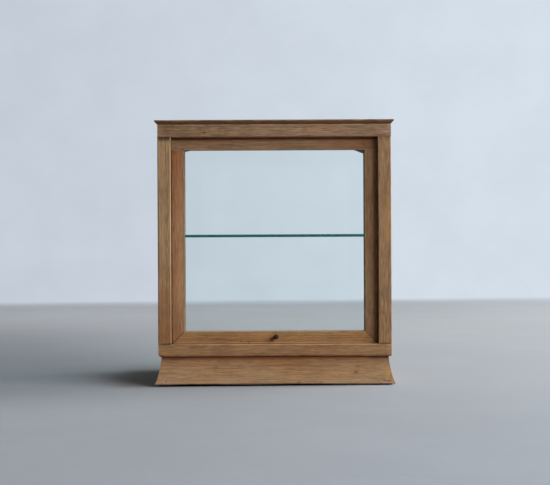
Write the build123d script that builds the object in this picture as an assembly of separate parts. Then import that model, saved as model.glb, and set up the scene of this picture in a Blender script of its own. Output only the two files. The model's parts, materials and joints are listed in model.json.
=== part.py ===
from build123d import *
import os

# Small glazed display case in oak. Millimetres, +Z up, the front faces -Y.
# The origin is on the ground, in the middle of the plinth's footprint.

# Carcase
body_width = 257.2  # over the outer faces of the posts
body_depth = 154.0  # over the front and back faces of the posts
rail_height = 13.8
post_length = 228.3  # between base rails and top rails
post_width = 18.6  # across the front, with the lip behind the sash
post_depth = 22.0
post_face = 14.6  # what shows of a post beside the sash
arris = 0.4  # worn corners of rails and boards
post_arris = 0.7  # worn upright corners of posts
base_round = 2.4  # rubbed lower outer corners of the base rails

# Joints of the carcase
post_tenon_width = 7.0
post_tenon_depth = 8.0
post_tenon_length = 6.0
post_tenon_inset = 8.0  # from a post's front or back face to its tenon's middle
rail_tenon_width = 6.0
rail_tenon_height = 5.0
rail_tenon_length = 6.0
rail_tenon_inset = 6.0  # from a side rail's inner face to its tenon's middle
mortise_slack = 0.5  # free depth past a tenon's end

# Plinth
plinth_height = 31.3
plinth_inset = 3.3  # its top edge stands back from the rails
plinth_spread = 3.4  # its foot stands out from the rails
plinth_wall = 11.0  # thickness at the top
plinth_hollow = 1.2  # how far the flare curves in from a straight slope
plinth_land = 1.2  # upright edge at the foot
plinth_block_leg = 15.0
plinth_block_height = 27.0

# Lid board
lid_thickness = 4.8
lid_overhang = 3.1
lid_bevel = 3.2

# Floor board
floor_thickness = 6.0
floor_rise = 2.0  # its top above the base rails
ledge_width = 4.0
board_clearance = 0.3

# Glass
glass_thickness = 2.0
groove_clearance = 0.2  # each side of a pane in its groove
groove_depth = 4.0
groove_inset = 4.0  # from the outer face of a post to the middle of the groove
pane_slack = 0.5  # free space past a pane's edge

# Rear glazing
back_rebate_width = 4.0
back_rebate_depth = 8.0
back_bead_bevel = 2.5

# Corner wedges of the rear frame
wedge_length = 21.0
wedge_height_left = 5.0
wedge_height_right = 8.0
wedge_thickness = 8.0
wedge_setback = 2.0  # behind the front faces of the rear posts

# Sash
sash_recess = 7.0
sash_thickness = 9.0
sash_member = 13.7
sash_side_gap = 0.5
sash_end_gap = 0.3
sash_stop_gap = 0.3
sash_lip = 4.0  # wood in front of the pane
sash_rebate_width = 4.0
sash_bead_bevel = 1.2
sash_tenon_width = 5.0
sash_tenon_thickness = 4.0
sash_tenon_length = 6.0

# Pivot nails
pivot_diameter = 2.4
pivot_clearance = 0.05  # radial, in the sash
pivot_reach = 12.0  # into the sash's top rail
nail_clearance = 0.02  # radial, in the wood that holds a nail
pivot_head_diameter = 4.6
pivot_head_thickness = 0.8

# Knob
knob_offset = 1.5  # right of the sash's middle
knob_lift = 0.8  # above the middle of the bottom rail
knob_diameter = 5.6
knob_reach = 7.0  # from the sash's face
knob_foot_diameter = 4.6
knob_neck_diameter = 3.4
knob_spigot_diameter = 3.0
knob_spigot_length = 6.0

# Shelf
shelf_top = 166.1  # above the ground
shelf_thickness = 3.0
shelf_arris = 0.3  # ground along its front and back edges
shelf_end_gap = 1.5  # from the shelf's end to the side pane
shelf_post_gap = 1.0  # from the shelf's edges to the posts
cleat_width = 8.0
cleat_height = 6.0
cleat_pane_gap = 1.5
cleat_housing = 3.0  # let into each post

# Brads
brad_width = 1.4  # square cut brads
brad_length = 12.0
brad_sink = 0.25  # heads lie this far under the wood
lid_front_brad_count = 4
lid_side_brad_count = 2
plinth_brad_height = 5.0
bead_brad_length = 8.0
bead_brad_count = 2  # in each bead
sash_brad_length = 7.0

# Levels and faces that follow from the sizes above
half_width = body_width / 2
half_depth = body_depth / 2
base_top = plinth_height + rail_height
opening_top = base_top + post_length
carcase_top = opening_top + rail_height
post_inner_x = half_width - post_width
post_face_x = half_width - post_face
post_inner_y = half_depth - post_depth
pane_x = half_width - groove_inset
groove_half = glass_thickness / 2 + groove_clearance
floor_top = base_top + floor_rise
floor_low = floor_top - floor_thickness

sash_front = -half_depth + sash_recess
sash_back = sash_front + sash_thickness
sash_stop = sash_back + sash_stop_gap
sash_half = post_face_x - sash_side_gap
sash_low = base_top + sash_end_gap
sash_high = opening_top - sash_end_gap
sight_half = sash_half - sash_member
sight_low = sash_low + sash_member
sight_high = sash_high - sash_member
pivot_y = sash_front + sash_thickness / 2
pivot_z = sash_high - sash_thickness / 2
pivot_end_x = sash_half - pivot_reach


def block(x, y, z):
    """A box from the two values given on each axis."""
    spans = (x, y, z)
    size = [high - low for low, high in spans]
    middle = [(high + low) / 2 for low, high in spans]
    return Pos(*middle) * Box(*size)


def rod(start, direction, diameter, length):
    """A round bar from start along a unit direction."""
    plane = Plane(origin=start, z_dir=direction)
    return plane * Cylinder(diameter / 2, length, align=(Align.CENTER, Align.CENTER, Align.MIN))


def mirrored(shape, plane):
    return mirror(shape, about=plane)


def prism_xz(points, y_low, y_high):
    """An outline in X and Z, carried from y_low to y_high."""
    outline = make_face(Polyline(*[(x, y_low, z) for x, z in points], close=True))
    return extrude(outline, amount=y_high - y_low, dir=(0, 1, 0))


def prism_xy(points, z_low, z_high):
    """An outline in X and Y, carried from z_low to z_high."""
    outline = make_face(Polyline(*[(x, y, z_low) for x, y in points], close=True))
    return extrude(outline, amount=z_high - z_low, dir=(0, 0, 1))


def soften(shape, axis, size=arris):
    """Wears the corners that run along an axis."""
    return chamfer(shape.edges().filter_by(axis), size)


def reach_out(edge):
    """How far the middle of a front or side rail's edge lies from the middle of the case."""
    middle = edge.center()
    return abs(middle.X + middle.Y)


def rub_base(rail, along, ends=None):
    """Wears a base rail: its lower outer corner is rounded, and its lower end corners where they show."""
    outer = rail.edges().filter_by(along).sort_by(lambda edge: edge.center().Z - reach_out(edge))
    others = [edge for edge in outer if edge is not outer[0]]
    rail = chamfer(others, arris)
    foot = rail.edges().filter_by(along).group_by(Axis.Z)[0]
    rubbed = [foot.sort_by(reach_out)[-1]]
    if ends is not None:
        rubbed += rail.edges().filter_by(ends).group_by(Axis.Z)[0]
    return fillet(rubbed, base_round)


def mitre_outline(half_x, low_y, high_y, reach):
    """The four mitred sides of a rectangle, as outlines that meet at 45 degrees."""
    outer = [(-half_x, low_y), (half_x, low_y), (half_x, high_y), (-half_x, high_y)]
    inner = [
        (-half_x + reach, low_y + reach),
        (half_x - reach, low_y + reach),
        (half_x - reach, high_y - reach),
        (-half_x + reach, high_y - reach),
    ]
    names = ["bottom", "right", "top", "left"]
    sides = {}
    for i, name in enumerate(names):
        k = (i + 1) % 4
        sides[name] = [outer[i], outer[k], inner[k], inner[i]]
    return sides


# ---- Joint shapes shared by the pieces that meet ----


def post_tenon(end, slack=0.0):
    """Tenon on a front right post: end -1 goes down into the base rail, +1 up into the top rail."""
    x_mid = post_face_x + post_face / 2
    y_mid = -half_depth + post_tenon_inset
    if end > 0:
        z_span = (opening_top, opening_top + post_tenon_length + slack)
    else:
        z_span = (base_top - post_tenon_length - slack, base_top)
    return block(
        (x_mid - post_tenon_width / 2, x_mid + post_tenon_width / 2),
        (y_mid - post_tenon_depth / 2, y_mid + post_tenon_depth / 2),
        z_span,
    )


def side_rail_tenon(rail_low, slack=0.0):
    """Tenon at the front end of a right side rail."""
    x_mid = post_inner_x + rail_tenon_inset
    z_mid = rail_low + rail_height / 2
    return block(
        (x_mid - rail_tenon_width / 2, x_mid + rail_tenon_width / 2),
        (-post_inner_y - rail_tenon_length - slack, -post_inner_y),
        (z_mid - rail_tenon_height / 2, z_mid + rail_tenon_height / 2),
    )


def side_groove():
    """The space cut for the right side pane in posts and rails."""
    return block(
        (pane_x - groove_half, pane_x + groove_half),
        (-post_inner_y - groove_depth, post_inner_y + groove_depth),
        (base_top - groove_depth, opening_top + groove_depth),
    )


def back_rebate():
    """The space cut round the rear opening for its pane and beads."""
    reach = post_inner_x + back_rebate_width
    return block(
        (-reach, reach),
        (half_depth - back_rebate_depth, half_depth),
        (base_top - back_rebate_width, opening_top + back_rebate_width),
    )


def floor_ledge():
    """The space cut in the base rails for the floor board."""
    reach = post_inner_x + ledge_width
    back = post_inner_y + ledge_width
    across = block((-post_inner_x, post_inner_x), (sash_stop, back), (floor_low, base_top))
    along = block((-reach, reach), (-post_inner_y, post_inner_y), (floor_low, base_top))
    return across + along


# ---- Brads and the pivot nails ----


def brad(start, direction, length, clearance=0.0, sink=0.0):
    """A square cut brad from its head along a unit direction. With a clearance and a sink it is the hole."""
    outer = tuple(place - step * sink for place, step in zip(start, direction))
    plane = Plane(origin=outer, z_dir=direction)
    width = brad_width + 2 * clearance
    return plane * Box(width, width, length + sink, align=(Align.CENTER, Align.CENTER, Align.MIN))


def brads(places, length):
    return [brad(start, direction, length) for start, direction in places]


def brad_holes(shape, places, length, sink):
    """Cuts the holes of a row of brads from a piece."""
    for start, direction in places:
        shape -= brad(start, direction, length, nail_clearance, sink)
    return shape


def spread(low, high, count):
    """Places evenly spaced between two ends, half a step in from each."""
    step = (high - low) / count
    return [low + step * (i + 0.5) for i in range(count)]


def lid_brad_places():
    head_z = carcase_top + lid_thickness - brad_sink
    down = (0, 0, -1)
    line_y = half_depth - post_depth / 2
    line_x = half_width - groove_inset - post_width / 3
    places = []
    for x in spread(-half_width, half_width, lid_front_brad_count):
        places += [((x, -line_y, head_z), down), ((x, line_y, head_z), down)]
    for y in spread(-post_inner_y, post_inner_y, lid_side_brad_count):
        places += [((-line_x, y, head_z), down), ((line_x, y, head_z), down)]
    return places


def flare_offset(z):
    """How far the plinth's face stands out from the rails at a height: a straight slope less its hollow."""
    share = (z - plinth_land) / (plinth_height - plinth_land)
    return plinth_spread - (plinth_spread + plinth_inset) * share - plinth_hollow


def plinth_brad_places():
    """One brad through each end of the front and back plinth pieces, into the side pieces."""
    x = half_width - plinth_inset - plinth_wall / 2
    y = half_depth + flare_offset(plinth_brad_height) - brad_sink
    places = []
    for side in (-1, 1):
        places.append(((side * x, -y, plinth_brad_height), (0, 1, 0)))
        places.append(((side * x, y, plinth_brad_height), (0, -1, 0)))
    return places


def bead_brad_places():
    """Brads sideways through the rear beads into posts and rails."""
    y = half_depth - (back_rebate_depth - glass_thickness) / 2
    inner_x = post_inner_x + brad_sink
    places = []
    for z in spread(base_top, opening_top, bead_brad_count):
        places += [((-inner_x, y, z), (-1, 0, 0)), ((inner_x, y, z), (1, 0, 0))]
    for x in spread(-post_inner_x, post_inner_x, bead_brad_count):
        places.append(((x, y, base_top - brad_sink), (0, 0, -1)))
        places.append(((x, y, opening_top + brad_sink), (0, 0, 1)))
    return places


def sash_brad_places():
    """One brad through the face of each top corner of the sash, into the stile's tenon."""
    x = (sight_half + sash_rebate_width + sash_half) / 2
    z = sight_high + sash_tenon_length / 2
    return [((side * x, sash_front + brad_sink, z), (0, 1, 0)) for side in (-1, 1)]


def pivot_places():
    return [((side * half_width, pivot_y, pivot_z), (-side, 0, 0)) for side in (-1, 1)]


def pivot_nail(start, direction, clearance=0.0):
    """A round nail whose head is let in flush. With a clearance it is the hole in the post."""
    head = rod(start, direction, pivot_head_diameter + 2 * clearance, pivot_head_thickness)
    shank = rod(start, direction, pivot_diameter + 2 * clearance, half_width - pivot_end_x)
    return head + shank


# ---- Carcase ----


def both_sides(shape):
    return shape + mirrored(shape, Plane.YZ)


def front_post():
    """Front right post, with the lip that the sash closes against."""
    post = block((post_inner_x, half_width), (-half_depth, -post_inner_y), (base_top, opening_top))
    post -= block((post_inner_x, post_face_x), (-half_depth, sash_stop), (base_top, opening_top))
    post = soften(post, Axis.Z, post_arris)
    post += post_tenon(-1) + post_tenon(1)
    post -= side_groove()
    post -= cleat()
    for start, direction in pivot_places():
        post -= pivot_nail(start, direction, nail_clearance)
    return post


def back_post():
    """Back right post, rebated for the rear pane."""
    post = block((post_inner_x, half_width), (post_inner_y, half_depth), (base_top, opening_top))
    post = soften(post, Axis.Z, post_arris)
    post += mirrored(post_tenon(-1) + post_tenon(1), Plane.XZ)
    post -= side_groove()
    post -= back_rebate()
    post -= cleat()
    return brad_holes(post, bead_brad_places(), bead_brad_length, brad_sink)


def long_rail(z_low, end):
    """Front rail at a level, with its mortises: end -1 for the base rail, +1 for the top rail."""
    rail = block((-half_width, half_width), (-half_depth, -post_inner_y), (z_low, z_low + rail_height))
    rail = soften(rail, Axis.X) if end > 0 else rub_base(rail, Axis.X, Axis.Y)
    rail -= both_sides(post_tenon(end, mortise_slack))
    rail -= both_sides(side_rail_tenon(z_low, mortise_slack))
    rail -= both_sides(side_groove())
    return rail


def side_rail(z_low):
    """Right side rail at a level, tenoned into the front and back rails."""
    rail = block((post_inner_x, half_width), (-post_inner_y, post_inner_y), (z_low, z_low + rail_height))
    rail = soften(rail, Axis.Y) if z_low > base_top else rub_base(rail, Axis.Y)
    tenon = side_rail_tenon(z_low)
    rail += tenon + mirrored(tenon, Plane.XZ)
    return rail - side_groove()


def floor_board():
    front_part = block(
        (-post_inner_x + board_clearance, post_inner_x - board_clearance),
        (sash_stop, post_inner_y + ledge_width - board_clearance),
        (floor_low, floor_top),
    )
    reach = post_inner_x + ledge_width - board_clearance
    wide_part = block(
        (-reach, reach),
        (-post_inner_y + board_clearance, post_inner_y - board_clearance),
        (floor_low, floor_top),
    )
    return front_part + wide_part


def lid_board():
    board = block(
        (-half_width - lid_overhang, half_width + lid_overhang),
        (-half_depth - lid_overhang, half_depth + lid_overhang),
        (carcase_top, carcase_top + lid_thickness),
    )
    board = chamfer(board.faces().sort_by(Axis.Z)[0].edges(), lid_bevel)
    board = chamfer(board.faces().sort_by(Axis.Z)[-1].edges(), arris)
    return brad_holes(board, lid_brad_places(), brad_length, brad_sink)


# ---- Plinth ----


def plinth_profile(reach):
    """Section of a plinth piece on the YZ plane: outwards, then up, as far as the face at reach."""
    inner = reach - plinth_inset - plinth_wall
    foot = reach + plinth_spread
    head = reach - plinth_inset
    flare = SagittaArc((foot, plinth_land), (head, plinth_height), plinth_hollow)
    corners = [(head, plinth_height), (inner, plinth_height), (inner, 0), (foot, 0), (foot, plinth_land)]
    straight = Polyline(*corners)
    return Plane.YZ * make_face([flare, straight])


def plinth_sides():
    """The four mitred plinth pieces, keyed by side."""
    foot_x = half_width + plinth_spread
    foot_y = half_depth + plinth_spread
    reach = plinth_spread + plinth_inset + plinth_wall
    outlines = mitre_outline(foot_x, -foot_y, foot_y, reach)
    back_bar = extrude(plinth_profile(half_depth), amount=foot_x, both=True)
    side_bar = Rot(0, 0, -90) * extrude(plinth_profile(half_width), amount=foot_y, both=True)
    bars = {
        "back": (back_bar, outlines["top"]),
        "front": (mirrored(back_bar, Plane.XZ), outlines["bottom"]),
        "right": (side_bar, outlines["right"]),
        "left": (mirrored(side_bar, Plane.YZ), outlines["left"]),
    }
    return {side: bar & prism_xy(outline, 0, plinth_height) for side, (bar, outline) in bars.items()}


def plinth_blocks():
    """Triangular glue blocks in the four inner corners."""
    x = half_width - plinth_inset - plinth_wall
    y = half_depth - plinth_inset - plinth_wall
    low = plinth_height - plinth_block_height
    corner = [(x, y), (x - plinth_block_leg, y), (x, y - plinth_block_leg)]
    first = prism_xy(corner, low, plinth_height)
    pair = [first, mirrored(first, Plane.YZ)]
    return pair + [mirrored(piece, Plane.XZ) for piece in pair]


# ---- Fixed glass and what holds it ----


def side_pane():
    reach_y = post_inner_y + groove_depth - pane_slack
    return block(
        (pane_x - glass_thickness / 2, pane_x + glass_thickness / 2),
        (-reach_y, reach_y),
        (base_top - groove_depth, opening_top + groove_depth - pane_slack),
    )


back_pane_low_y = half_depth - back_rebate_depth


def back_pane():
    reach = post_inner_x + back_rebate_width - pane_slack
    return block(
        (-reach, reach),
        (back_pane_low_y, back_pane_low_y + glass_thickness),
        (base_top - back_rebate_width, opening_top + back_rebate_width - pane_slack),
    )


def bead_set(half_x, low_z, high_z, width, y_low, y_high, bevel):
    """Four mitred beads that fill a rebate behind a pane, with their sight edges bevelled at y_high."""
    ring = block((-half_x, half_x), (y_low, y_high), (low_z, high_z))
    sight = block((-half_x + width, half_x - width), (y_low, y_high), (low_z + width, high_z - width))
    ring -= sight
    sight_box = sight.bounding_box()
    sight_edges = [
        edge
        for edge in ring.faces().sort_by(Axis.Y)[-1].edges()
        if abs(edge.center().X) < sight_box.max.X + width / 2
        and sight_box.min.Z - width / 2 < edge.center().Z < sight_box.max.Z + width / 2
    ]
    ring = chamfer(sight_edges, bevel)
    outlines = mitre_outline(half_x, low_z, high_z, width)
    return {side: ring & prism_xz(outline, y_low, y_high) for side, outline in outlines.items()}


def back_beads():
    beads = bead_set(
        post_inner_x + back_rebate_width,
        base_top - back_rebate_width,
        opening_top + back_rebate_width,
        back_rebate_width,
        back_pane_low_y + glass_thickness,
        half_depth,
        back_bead_bevel,
    )
    places = bead_brad_places()
    return {side: brad_holes(bead, places, bead_brad_length, brad_sink) for side, bead in beads.items()}


def corner_wedge(height):
    """Wedge under the rear top rail, in the corner of the right post."""
    y_low = post_inner_y + wedge_setback
    corner = [
        (post_inner_x, opening_top),
        (post_inner_x, opening_top - height),
        (post_inner_x - wedge_length, opening_top),
    ]
    return prism_xz(corner, y_low, y_low + wedge_thickness)


# ---- Sash ----


def sash_rebate():
    reach = sight_half + sash_rebate_width
    return block(
        (-reach, reach),
        (sash_front + sash_lip, sash_back),
        (sight_low - sash_rebate_width, sight_high + sash_rebate_width),
    )


def sash_tenon(slack=0.0):
    """Tenon at the head of the right stile."""
    x_mid = (sight_half + sash_rebate_width + sash_half) / 2
    return block(
        (x_mid - sash_tenon_width / 2, x_mid + sash_tenon_width / 2),
        (pivot_y - sash_tenon_thickness / 2, pivot_y + sash_tenon_thickness / 2),
        (sight_high, sight_high + sash_tenon_length + slack),
    )


def sash_top_rail():
    """Through rail whose head is rounded about the pivot line."""
    flat = block((-sash_half, sash_half), (sash_front, sash_back), (sight_high, pivot_z))
    head = rod((-sash_half, pivot_y, pivot_z), (1, 0, 0), sash_thickness, 2 * sash_half)
    rail = flat + head
    rail -= sash_rebate()
    rail -= both_sides(sash_tenon(mortise_slack))
    for start, direction in pivot_places():
        shank_start = (start[0] + direction[0] * pivot_head_thickness, start[1], start[2])
        shank_length = half_width - pivot_end_x - pivot_head_thickness + mortise_slack
        rail -= rod(shank_start, direction, pivot_diameter + 2 * pivot_clearance, shank_length)
    return brad_holes(rail, sash_brad_places(), sash_brad_length, brad_sink)


def sash_stile():
    """Right stile: square under the top rail, mitred at its foot."""
    outline = [
        (sight_half, sight_low),
        (sash_half, sash_low),
        (sash_half, sight_high),
        (sight_half, sight_high),
    ]
    stile = prism_xz(outline, sash_front, sash_back)
    stile = soften(stile, Axis.Z)
    stile += sash_tenon()
    stile -= sash_rebate()
    return brad_holes(stile, sash_brad_places(), sash_brad_length, brad_sink)


def sash_bottom_rail():
    outline = [
        (-sash_half, sash_low),
        (sash_half, sash_low),
        (sight_half, sight_low),
        (-sight_half, sight_low),
    ]
    rail = prism_xz(outline, sash_front, sash_back)
    rail = soften(rail, Axis.X)
    rail -= sash_rebate()
    return rail - knob_spigot(nail_clearance)


def sash_pane():
    reach = sight_half + sash_rebate_width - pane_slack
    y_low = sash_front + sash_lip
    return block(
        (-reach, reach),
        (y_low, y_low + glass_thickness),
        (sight_low - sash_rebate_width, sight_high + sash_rebate_width - pane_slack),
    )


def sash_beads():
    return bead_set(
        sight_half + sash_rebate_width,
        sight_low - sash_rebate_width,
        sight_high + sash_rebate_width,
        sash_rebate_width,
        sash_front + sash_lip + glass_thickness,
        sash_back,
        sash_bead_bevel,
    )


knob_z = sash_low + sash_member / 2 + knob_lift


def knob_spigot(clearance=0.0):
    start = (knob_offset, sash_front, knob_z)
    return rod(start, (0, 1, 0), knob_spigot_diameter + 2 * clearance, knob_spigot_length + clearance)


def sash_knob():
    """Turned knob: a foot that tapers to a neck with a ball, on a spigot glued into the bottom rail."""
    foot = knob_foot_diameter / 2
    neck = knob_neck_diameter / 2
    ball = knob_diameter / 2
    ball_centre = knob_reach - ball
    neck_at = ball_centre - (ball**2 - neck**2) ** 0.5
    outline = [
        Polyline((0, knob_reach), (0, 0), (foot, 0), (neck, neck_at)),
        ThreePointArc((neck, neck_at), (ball, ball_centre), (0, knob_reach)),
    ]
    turned = revolve(make_face(outline), axis=Axis.Y)
    return Pos(knob_offset, sash_front, knob_z) * mirrored(turned, Plane.XZ) + knob_spigot()


# ---- Shelf ----

pane_inner_x = pane_x - glass_thickness / 2


def cleat():
    """Right shelf cleat, housed in the front and back posts."""
    high_x = pane_inner_x - cleat_pane_gap
    low_z = shelf_top - shelf_thickness - cleat_height
    reach_y = post_inner_y + cleat_housing
    return block((high_x - cleat_width, high_x), (-reach_y, reach_y), (low_z, low_z + cleat_height))


def shelf():
    half_x = pane_inner_x - shelf_end_gap
    half_y = post_inner_y - shelf_post_gap
    plate = block((-half_x, half_x), (-half_y, half_y), (shelf_top - shelf_thickness, shelf_top))
    return chamfer(plate.edges().filter_by(Axis.X), shelf_arris)


# ---- Assembly ----


def left_of(shape):
    return mirrored(shape, Plane.YZ)


def back_of(shape):
    return mirrored(shape, Plane.XZ)


def carcase_nodes():
    nodes = {}
    right_posts = {"front": front_post(), "back": back_post()}
    for place, post in right_posts.items():
        nodes[f"post_{place}_right"] = post
        nodes[f"post_{place}_left"] = left_of(post)
    base_rail = long_rail(plinth_height, -1)
    top_rail = long_rail(opening_top, 1)
    lid_holes = lid_brad_places()
    nodes["base_rail_front"] = base_rail - floor_ledge()
    nodes["base_rail_back"] = brad_holes(
        back_of(base_rail) - floor_ledge() - back_rebate(), bead_brad_places(), bead_brad_length, brad_sink
    )
    nodes["top_rail_front"] = brad_holes(top_rail, lid_holes, brad_length, brad_sink)
    back_top = brad_holes(back_of(top_rail) - back_rebate(), bead_brad_places(), bead_brad_length, brad_sink)
    nodes["top_rail_back"] = brad_holes(back_top, lid_holes, brad_length, brad_sink)
    base_side = side_rail(plinth_height) - floor_ledge()
    top_side = brad_holes(side_rail(opening_top), lid_holes, brad_length, brad_sink)
    nodes["base_rail_right"] = base_side
    nodes["base_rail_left"] = left_of(base_side)
    nodes["top_rail_right"] = top_side
    nodes["top_rail_left"] = left_of(top_side)
    nodes["floor_board"] = floor_board()
    nodes["top_board"] = lid_board()
    nodes["top_board_brads"] = Compound(children=brads(lid_brad_places(), brad_length))
    return nodes


def plinth_nodes():
    nodes = {}
    for side, piece in plinth_sides().items():
        nodes[f"plinth_{side}"] = brad_holes(piece, plinth_brad_places(), brad_length, plinth_spread)
    nodes["plinth_blocks"] = Compound(children=plinth_blocks())
    nodes["plinth_brads"] = Compound(children=brads(plinth_brad_places(), brad_length))
    return nodes


def glazing_nodes():
    nodes = {
        "side_glass_right": side_pane(),
        "side_glass_left": left_of(side_pane()),
        "back_glass": back_pane(),
    }
    for side, bead in back_beads().items():
        nodes[f"back_bead_{side}"] = bead
    nodes["back_bead_brads"] = Compound(children=brads(bead_brad_places(), bead_brad_length))
    nodes["corner_wedge_right"] = corner_wedge(wedge_height_right)
    nodes["corner_wedge_left"] = left_of(corner_wedge(wedge_height_left))
    return nodes


def sash_nodes():
    stile = sash_stile()
    nodes = {
        "sash_top_rail": sash_top_rail(),
        "sash_bottom_rail": sash_bottom_rail(),
        "sash_stile_right": stile,
        "sash_stile_left": left_of(stile),
        "sash_glass": sash_pane(),
        "sash_knob": sash_knob(),
    }
    for side, bead in sash_beads().items():
        nodes[f"sash_bead_{side}"] = bead
    nodes["sash_brads"] = Compound(children=brads(sash_brad_places(), sash_brad_length))
    nails = [pivot_nail(start, direction) for start, direction in pivot_places()]
    nodes["pivot_nails"] = Compound(children=nails)
    return nodes


def shelf_nodes():
    return {"shelf_glass": shelf(), "shelf_cleat_right": cleat(), "shelf_cleat_left": left_of(cleat())}


os.makedirs("parts", exist_ok=True)
assembly = {**plinth_nodes(), **carcase_nodes(), **glazing_nodes(), **sash_nodes(), **shelf_nodes()}
for name, shape in assembly.items():
    export_step(shape, f"parts/{name}.step")

print("nodes", len(assembly))
print("sash turns about y", pivot_y, "z", pivot_z)
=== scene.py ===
import bpy
import bmesh
import json
import math
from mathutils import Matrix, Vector, noise


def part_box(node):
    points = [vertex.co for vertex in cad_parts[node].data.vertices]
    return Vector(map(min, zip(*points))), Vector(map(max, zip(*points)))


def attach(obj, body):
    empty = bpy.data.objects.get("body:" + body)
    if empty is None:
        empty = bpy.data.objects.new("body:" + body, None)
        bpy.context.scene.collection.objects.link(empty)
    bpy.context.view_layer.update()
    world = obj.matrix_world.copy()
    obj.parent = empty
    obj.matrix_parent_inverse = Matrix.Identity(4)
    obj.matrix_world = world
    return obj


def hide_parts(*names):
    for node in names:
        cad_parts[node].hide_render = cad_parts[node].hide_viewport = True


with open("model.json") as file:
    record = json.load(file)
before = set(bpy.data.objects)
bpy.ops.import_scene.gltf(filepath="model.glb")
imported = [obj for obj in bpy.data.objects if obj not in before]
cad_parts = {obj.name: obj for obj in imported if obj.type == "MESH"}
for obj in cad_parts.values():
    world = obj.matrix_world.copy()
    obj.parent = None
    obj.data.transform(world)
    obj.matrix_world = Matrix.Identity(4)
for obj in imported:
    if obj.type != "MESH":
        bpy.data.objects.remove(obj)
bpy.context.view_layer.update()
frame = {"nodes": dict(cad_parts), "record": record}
nodes = frame["nodes"]
bodies = frame["record"]["behaviour"]["bodies"]
bodyOf = {node: body for body, members in bodies.items() for node in members}
scene = bpy.context.scene
scene.view_settings.view_transform = "Standard"
print("frame loaded:", len(nodes), "nodes")


# Camera, a little above the middle of the case

cameraLook = {
    "place": (0.0005, -1.287, 0.157), "lens": 72.0, "sensor": 36.0, "roll": 0.28,
    "nearest": 0.02, "furthest": 60.0,
}

cameraData = bpy.data.cameras.new("frontCamera")
cameraData.lens = cameraLook["lens"]
cameraData.sensor_width = cameraLook["sensor"]
cameraData.clip_start = cameraLook["nearest"]
cameraData.clip_end = cameraLook["furthest"]
camera = bpy.data.objects.new("frontCamera", cameraData)
camera.location = cameraLook["place"]
camera.rotation_euler = (math.pi / 2, math.radians(cameraLook["roll"]), 0)
scene.collection.objects.link(camera)
scene.camera = camera


# Helpers for colours, node trees and materials

def tone(red, green, blue):  # screen values, 0 to 255, to a linear colour
    def linear(value):
        value /= 255
        return value / 12.92 if value <= 0.04045 else ((value + 0.055) / 1.055) ** 2.4
    return (linear(red), linear(green), linear(blue), 1.0)


def addNode(tree, kind, feeds=None, **settings):
    node = tree.nodes.new("ShaderNode" + kind)
    for name, value in settings.items():
        setattr(node, name, value)
    feedNode(tree, node, feeds or {})
    return node


def feedNode(tree, node, feeds):
    for key, value in feeds.items():
        if isinstance(value, bpy.types.NodeSocket):
            tree.links.new(value, node.inputs[key])
        else:
            node.inputs[key].default_value = value


def calc(tree, operation, *values):
    return addNode(tree, "Math", dict(enumerate(values)), operation=operation).outputs[0]


def product(tree, first, *others):
    for other in others:
        first = calc(tree, "MULTIPLY", first, other)
    return first


def largest(tree, first, *others):
    for other in others:
        first = calc(tree, "MAXIMUM", first, other)
    return first


def vectorCalc(tree, operation, *values):
    return addNode(tree, "VectorMath", dict(enumerate(values)), operation=operation).outputs[0]


def lengthOf(tree, vector):
    return addNode(tree, "VectorMath", {0: vector}, operation="LENGTH").outputs["Value"]


def dotOf(tree, first, second):
    return addNode(tree, "VectorMath", {0: first, 1: second}, operation="DOT_PRODUCT").outputs["Value"]


def stretch(tree, vector, along, across):  # grain runs along X in pattern space
    return vectorCalc(tree, "MULTIPLY", vector, (along, across, across))


def noiseOf(tree, vector, scale=1.0, detail=2.0, roughness=0.5):
    feeds = {"Vector": vector, "Scale": scale, "Detail": detail, "Roughness": roughness}
    return addNode(tree, "TexNoise", feeds).outputs


def swingOf(tree, value, amount):  # noise from 0 to 1, turned to swing both ways
    return product(tree, calc(tree, "SUBTRACT", value, 0.5), amount)


def span(tree, value, low, high, toLow=0.0, toHigh=1.0):
    feeds = {0: value, 1: low, 2: high, 3: toLow, 4: toHigh}
    return addNode(tree, "MapRange", feeds, interpolation_type="SMOOTHSTEP").outputs[0]


def mixColor(tree, factor, first, second, mode="MIX"):
    feeds = {0: factor, 6: first, 7: second}
    return addNode(tree, "Mix", feeds, data_type="RGBA", blend_type=mode).outputs[2]


def darker(color, amount):
    return tuple(value * amount for value in color[:3]) + (1.0,)


def shadeColor(tree, color, amount):
    return addNode(tree, "VectorMath", {0: color, "Scale": amount}, operation="SCALE").outputs[0]


def bumpOf(tree, height, strength, distance):
    feeds = {"Strength": strength, "Distance": distance, "Height": height}
    return addNode(tree, "Bump", feeds).outputs[0]


def seenRays(tree):  # 1 for what is seen straight, mirrored or through glass
    rays = addNode(tree, "LightPath").outputs
    return largest(tree, rays["Is Camera Ray"], rays["Is Glossy Ray"], rays["Is Transmission Ray"])


def startMaterial(name):
    material = bpy.data.materials.new(name)
    material.use_nodes = True
    return material, material.node_tree, material.node_tree.nodes["Principled BSDF"]


def mixSurface(tree, factor, shader, other):
    both = addNode(tree, "MixShader", {0: factor, 1: shader.outputs[0], 2: other.outputs[0]})
    tree.links.new(both.outputs[0], tree.nodes["Material Output"].inputs["Surface"])


def startGroup(name, takes, gives):
    group = bpy.data.node_groups.new(name, "ShaderNodeTree")
    for label, value in takes.items():
        kind = "Float"
        if isinstance(value, tuple):
            kind = "Vector" if len(value) == 3 else "Color"
        socket = group.interface.new_socket(label, in_out="INPUT", socket_type="NodeSocket" + kind)
        socket.default_value = value
    for label, kind in gives.items():
        group.interface.new_socket(label, in_out="OUTPUT", socket_type="NodeSocket" + kind)
    return group, group.nodes.new("NodeGroupInput").outputs


def endGroup(group, results):
    given = group.nodes.new("NodeGroupOutput").inputs
    for label, socket in results.items():
        group.links.new(socket, given[label])
    return group


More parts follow.
